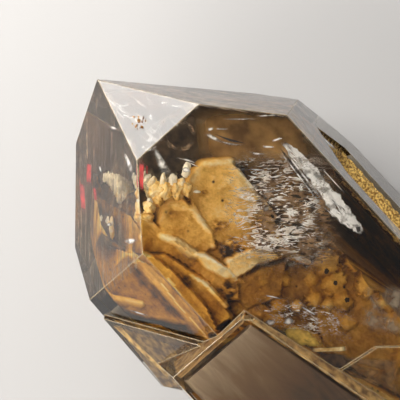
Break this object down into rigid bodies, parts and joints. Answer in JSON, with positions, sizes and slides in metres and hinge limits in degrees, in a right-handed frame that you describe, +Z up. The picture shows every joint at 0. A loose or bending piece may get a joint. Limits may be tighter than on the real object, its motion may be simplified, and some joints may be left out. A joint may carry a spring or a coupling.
{
  "type": "hopper quartz crystal",
  "caption": "Smoky, clear hopper quartz crystal with a sharp point, stepped growth windows, a smaller crystal on its front edge and golden clay inside.",
  "frame": {"origin": "on the resting face's plane, under the middle of the crystal's bounding box", "axes": "X along the crystal's long axis with the point towards -X, +Z up and out of the broad front prism face"},
  "size_m": [0.097, 0.0612, 0.0457],
  "materials": {
    "smoky_quartz": "glossy",
    "ochre_clay": "matte"
  },
  "bodies": {
    "root": {"quartz_crystal": "smoky_quartz", "clay_filling": "ochre_clay"}
  },
  "joints": []
}
